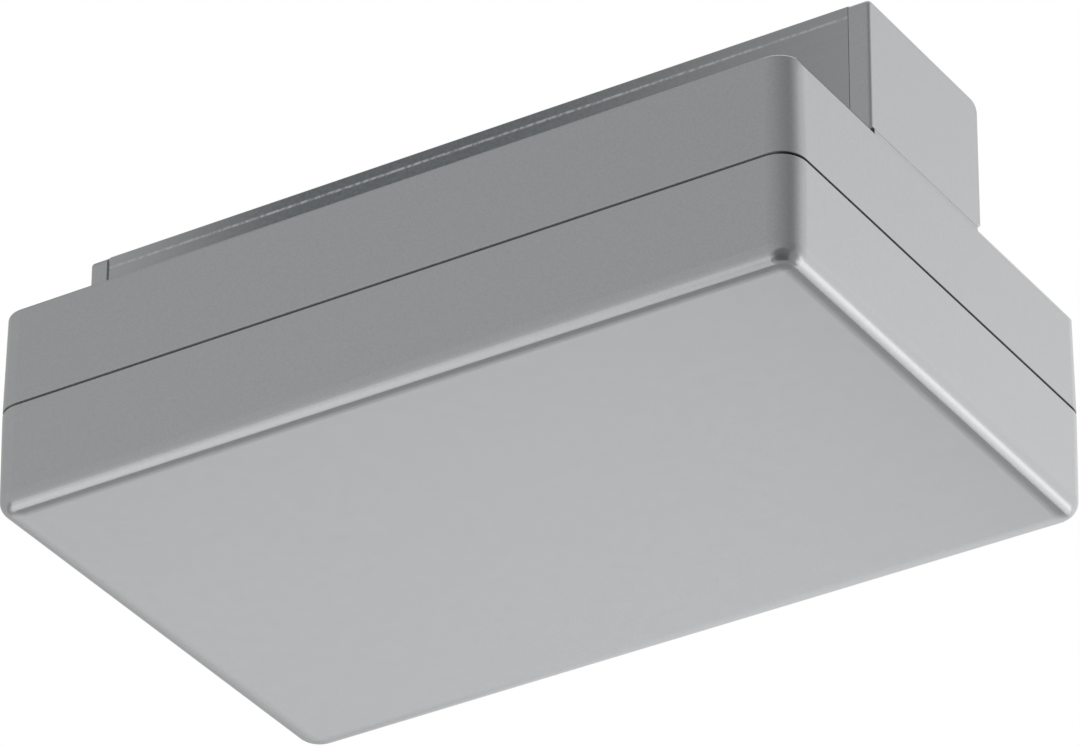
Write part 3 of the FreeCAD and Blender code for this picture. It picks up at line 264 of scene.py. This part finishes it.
def channel_paint():
    """Same paint on extruded aluminium: die lines, painted shade mid-side, a rubbed plate joint with a
    painted glint.
    """
    s = Shader("silver_channel")
    place = s.axes()
    side = s.ramp(s.math("ABSOLUTE", s.axes("Normal")["Y"]), *SIDE_FACING)
    lines = s.noise(scale=1.0, detail=4.0, stretch=(4.0, 2500.0, 2500.0))
    clean = s.shade(lines, (0.435, 0.442, 0.452), (0.485, 0.492, 0.502))
    # Painted shade: the channel's sides darken towards its middle.
    shade_colour = s.shade(s.noise(scale=1500.0), (0.142, 0.153, 0.158), (0.264, 0.283, 0.294))
    painted_shade = s.product(s.ramp(place["X"], *PAINTED_SHADE_LEFT), s.ramp(place["X"], *PAINTED_SHADE_RIGHT), side)
    specks = s.ramp(s.noise(scale=1300.0, detail=2.0), start=0.36, end=0.62)
    # Worn bare metal along the plate joint, with a painted glint: a brighter, speckled line on the sides.
    rub_and_glint = s.ramp(s.distance(place["Z"], PLATE_JOINT_Z), *RUB_AND_GLINT_REACH)
    worn_and_glint = s.product(rub_and_glint, s.between(specks, low=0.3, high=1.0), side)
    s.set(Base_Color=s.shade(worn_and_glint, s.shade(painted_shade, clean, shade_colour), RUBBED_METAL_AND_GLINT), Metallic=1.0)
    s.set(Roughness=s.between(s.noise(scale=90.0), low=0.26, high=0.34))
    s.set(Normal=s.bump(lines, depth=4 * MICRON))
    return s.material


def moulded_plastic(name, dark, light, roughness, spread=0.06):
    """Glass-filled moulding compound or rubber: a matt, finely grained surface."""
    s = Shader(name)
    s.set(Base_Color=s.shade(s.noise(scale=250.0), dark, light))
    s.set(Roughness=s.between(s.noise(scale=700.0), low=roughness - spread, high=roughness + spread))
    s.set(Normal=s.bump(s.noise(scale=2500.0, detail=2.0), depth=10 * MICRON))
    return s.material


def drawn_metal(name, dark, light, roughness, polish=0.05, tarnish=0.08):
    """Stamped or turned metal with fine rolling marks and slight tarnish."""
    s = Shader(name)
    s.set(Base_Color=s.shade(s.noise(scale=160.0, detail=5.0), dark, light), Metallic=1.0)
    s.set(Roughness=s.between(s.noise(scale=500.0), low=roughness - polish, high=roughness + tarnish))
    s.set(Normal=s.bump(s.noise(scale=1.0, stretch=(200.0, 3000.0, 3000.0)), depth=4 * MICRON))
    return s.material


def soften(s):
    """Give insulation its slight sheen and soft skin."""
    s.set(Roughness=s.between(s.noise(scale=800.0), low=0.38, high=0.5))
    s.set(Normal=s.bump(s.noise(scale=1500.0), depth=8 * MICRON))


def wire_cover(name, dark, light):
    """Insulation of one colour."""
    s = Shader(name)
    s.set(Base_Color=s.shade(s.noise(scale=300.0), dark, light))
    soften(s)
    return s.material


def earth_cover():
    """Green and yellow insulation, in stripes that run along the wire."""
    s = Shader("wire_earth")
    facing = s.node("VectorMath", {0: s.coordinate("Normal"), 1: STRIPE_FACING}, operation="DOT_PRODUCT")
    stripe = s.ramp(s.math("ABSOLUTE", facing.outputs["Value"]), *STRIPE_EDGE)
    mottle = s.noise(scale=300.0)
    green = s.shade(mottle, (0.05, 0.26, 0.04), (0.07, 0.33, 0.06))
    yellow = s.shade(mottle, (0.72, 0.60, 0.04), (0.82, 0.69, 0.07))
    s.set(Base_Color=s.shade(stripe, green, yellow))
    soften(s)
    return s.material


MATERIALS = {
    "silver_housing": silver_paint(),
    "silver_channel": channel_paint(),
    "insulator": moulded_plastic("insulator", (0.030, 0.030, 0.032), (0.045, 0.045, 0.048), 0.5),
    "copper_alloy": drawn_metal("copper_alloy", (0.62, 0.36, 0.20), (0.78, 0.50, 0.30), 0.24),
    "earth_brass": drawn_metal("earth_brass", (0.58, 0.44, 0.18), (0.74, 0.58, 0.28), 0.26),
    "spring_steel": drawn_metal("spring_steel", (0.44, 0.44, 0.45), (0.56, 0.56, 0.57), 0.22),
    "zinc_steel": drawn_metal("zinc_steel", (0.56, 0.57, 0.60), (0.70, 0.71, 0.73), 0.28),
    "terminal_grey": moulded_plastic("terminal_grey", (0.46, 0.47, 0.47), (0.54, 0.55, 0.55), 0.45),
    "button_orange": moulded_plastic("button_orange", (0.72, 0.20, 0.03), (0.82, 0.26, 0.05), 0.4),
    "wire_brown": wire_cover("wire_brown", (0.13, 0.055, 0.025), (0.18, 0.08, 0.035)),
    "wire_black": wire_cover("wire_black", (0.012, 0.012, 0.013), (0.025, 0.025, 0.027)),
    "wire_grey": wire_cover("wire_grey", (0.22, 0.23, 0.24), (0.30, 0.31, 0.32)),
    "wire_blue": wire_cover("wire_blue", (0.02, 0.10, 0.42), (0.04, 0.15, 0.52)),
    "wire_earth": earth_cover(),
    "black_rubber": moulded_plastic("black_rubber", (0.015, 0.015, 0.015), (0.028, 0.028, 0.028), 0.62),
}


def dress_nodes():
    for entry in frame["record"]["subparts"]:
        mesh = frame["nodes"][entry["node"]].data
        mesh.materials.clear()
        mesh.materials.append(MATERIALS[entry["material_slot"]])


def add_beads():
    """Bridge the joint between the block's ends and the base's bevelled ends with paint, slightly hollow."""
    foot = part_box("base_housing")[1][2] - BEVEL_HEIGHT
    for cap, side in (("closed_end_cap", 1), ("track_end_cap", -1)):
        low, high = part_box(cap)
        face = max(abs(low[0]), abs(high[0])) - BEAD_INSET
        top = low[2] + BEAD_LAP
        inside = min(face, BEVEL_FOOT) - BEAD_DEPTH
        section = [(inside, foot), (inside, top)]
        for step in range(BEAD_STEPS + 1):
            share = step / BEAD_STEPS
            hollow = BEAD_HOLLOW * math.sin(math.pi * share)
            section.append((face + (BEVEL_FOOT - face) * share - hollow, top + (foot - top) * share))
        outline = [(side * x, z) for x, z in section][::-side]
        bead = bar_along_y(f"paint_bead_{cap}", outline, low[1] + BEAD_END, high[1] - BEAD_END)
        bead.data.materials.append(MATERIALS["silver_housing"])
        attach(bead, "feed_body")


def bar_along_y(name, outline, start, end):
    """Make a closed bar from an outline in X and Z that runs anticlockwise as the front sees it."""
    count = len(outline)
    vertices = [(x, y, z) for y in (start, end) for x, z in outline]
    faces = [tuple(range(count)), tuple(range(2 * count - 1, count - 1, -1))]
    for i in range(count):
        after = (i + 1) % count
        faces.append((i, i + count, after + count, after))
    return add_mesh(name, vertices, faces)


def light_path_switch(tree, seen, other):
    """Give camera, glossy and transmission rays one shader and all other rays another."""
    rays = tree.nodes.new("ShaderNodeLightPath").outputs
    either = rays["Is Camera Ray"]
    for name in ("Is Glossy Ray", "Is Transmission Ray"):
        larger = tree.nodes.new("ShaderNodeMath")
        larger.operation = "MAXIMUM"
        tree.links.new(either, larger.inputs[0])
        tree.links.new(rays[name], larger.inputs[1])
        either = larger.outputs[0]
    mix = tree.nodes.new("ShaderNodeMixShader")
    for socket, source in zip(mix.inputs, (either, other, seen)):
        tree.links.new(source, socket)
    return mix.outputs[0]


def add_world():
    """A white background that lights the part with less than it shows."""
    world = bpy.data.worlds.new("studio")
    world.use_nodes = True
    tree = world.node_tree
    seen = tree.nodes["Background"]
    ambient = tree.nodes.new("ShaderNodeBackground")
    for background, strength in ((seen, 1.0), (ambient, AMBIENT)):
        background.inputs["Color"].default_value = WHITE
        background.inputs["Strength"].default_value = strength
    mixed = light_path_switch(tree, seen.outputs[0], ambient.outputs[0])
    tree.links.new(mixed, tree.nodes["World Output"].inputs["Surface"])
    bpy.context.scene.world = world


def plane(name, width, height):
    """A flat stage piece round the origin, facing up."""
    x = width / 2
    y = height / 2
    made = add_mesh(name, [(-x, -y, 0), (x, -y, 0), (x, y, 0), (-x, y, 0)], [(0, 1, 2, 3)])
    return made


def add_floor():
    """A pale floor; the camera sees it lifted to the background's white."""
    floor = plane("floor", FLOOR_SIZE, FLOOR_SIZE)
    floor.location.z = FLOOR_Z
    s = Shader("floor")
    s.set(Base_Color=FLOOR_COLOUR, Roughness=FLOOR_ROUGHNESS, Emission_Color=FLOOR_COLOUR)
    s.set(Emission_Strength=s.between(s.node("LightPath").outputs["Is Camera Ray"], low=0.0, high=FLOOR_LIFT))
    floor.data.materials.append(s.material)


def glow(thing):
    """Let a stage piece shine by itself and mirror nothing; the caller sets how strongly."""
    s = Shader(thing.name)
    s.set(Base_Color=BLACK, Roughness=1.0, Specular_IOR_Level=0.0, Emission_Color=WHITE)
    thing.data.materials.append(s.material)
    return s


def add_cyclorama():
    """A curved grey backdrop round the part, graded like a photographer's sweep."""
    vertices = [CAMERA_TARGET + spherical(azimuth, elevation) * SWEEP_RADIUS
                for azimuth in SWEEP for elevation in SWEEP_RISE]
    rows = len(SWEEP_RISE)
    faces = []
    for column in range(len(SWEEP) - 1):
        for row in range(rows - 1):
            corner = column * rows + row
            faces.append((corner, corner + 1, corner + rows + 1, corner + rows))
    sweep = add_mesh("cyclorama", vertices, faces)
    grey = sweep.data.attributes.new("grey", "FLOAT", "POINT")
    grey.data.foreach_set("value", [level for column in SWEEP.values() for level in column])
    sweep.visible_camera = False
    s = glow(sweep)
    s.set(Emission_Strength=s.node("Attribute", attribute_name="grey").outputs["Fac"])


def add_flag(name, azimuth, elevation, distance, width, height, brightness):
    """A dark card that faces the part from a direction and shapes its reflections; the camera misses it."""
    card = plane(name, width, height)
    out = spherical(azimuth, elevation)
    card.matrix_world = (Matrix.Translation(CAMERA_TARGET + out * distance)
                         @ out.to_track_quat("Z", "Y").to_matrix().to_4x4())
    card.visible_camera = False
    glow(card).set(Emission_Strength=brightness)


def add_lamp(name, place, width, depth, brightness):
    """A soft box that lies below the part and faces up; its face is so many times as bright as white."""
    data = bpy.data.lights.new(name, "AREA")
    data.shape = "RECTANGLE"
    data.size = width
    data.size_y = depth
    data.energy = brightness * math.pi * width * depth
    lamp = add_object(name, data)
    lamp.location = (*place, LAMP_Z)
    lamp.rotation_euler = (math.pi, 0, 0)
    lamp.visible_camera = False


def add_lights():
    add_flag("camera_flag", azimuth=34, elevation=-30, distance=1.6, width=1.6, height=1.7, brightness=0.24)
    add_flag("low_flag", azimuth=34, elevation=-72, distance=1.0, width=0.7, height=0.9, brightness=0.16)
    add_flag("gap_flag", azimuth=-155, elevation=-48, distance=1.3, width=0.9, height=0.36, brightness=0.3)
    add_lamp("front_lamp_far", place=(-0.775, -1.28), width=1.05, depth=1.04, brightness=0.29)
    add_lamp("front_lamp_mid", place=(-0.61, -0.53), width=0.78, depth=0.46, brightness=0.6)
    add_lamp("front_lamp_near", place=(-0.65, 0.06), width=0.7, depth=0.72, brightness=0.78)
    add_lamp("left_lamp", place=(-1.19, 1.84), width=1.42, depth=1.86, brightness=0.69)
    add_lamp("right_lamp_far", place=(1.22, 2.2), width=1.74, depth=2.1, brightness=1.6)
    add_lamp("right_lamp_near", place=(1.22, 0.83), width=1.74, depth=0.64, brightness=1.15)
    add_lamp("right_lamp_edge", place=(0.11, 2.0), width=0.48, depth=2.5, brightness=1.0)


add_camera()
add_world()
add_floor()
add_cyclorama()
add_lights()
dress_nodes()
add_beads()
bpy.context.scene.view_settings.view_transform = "Standard"
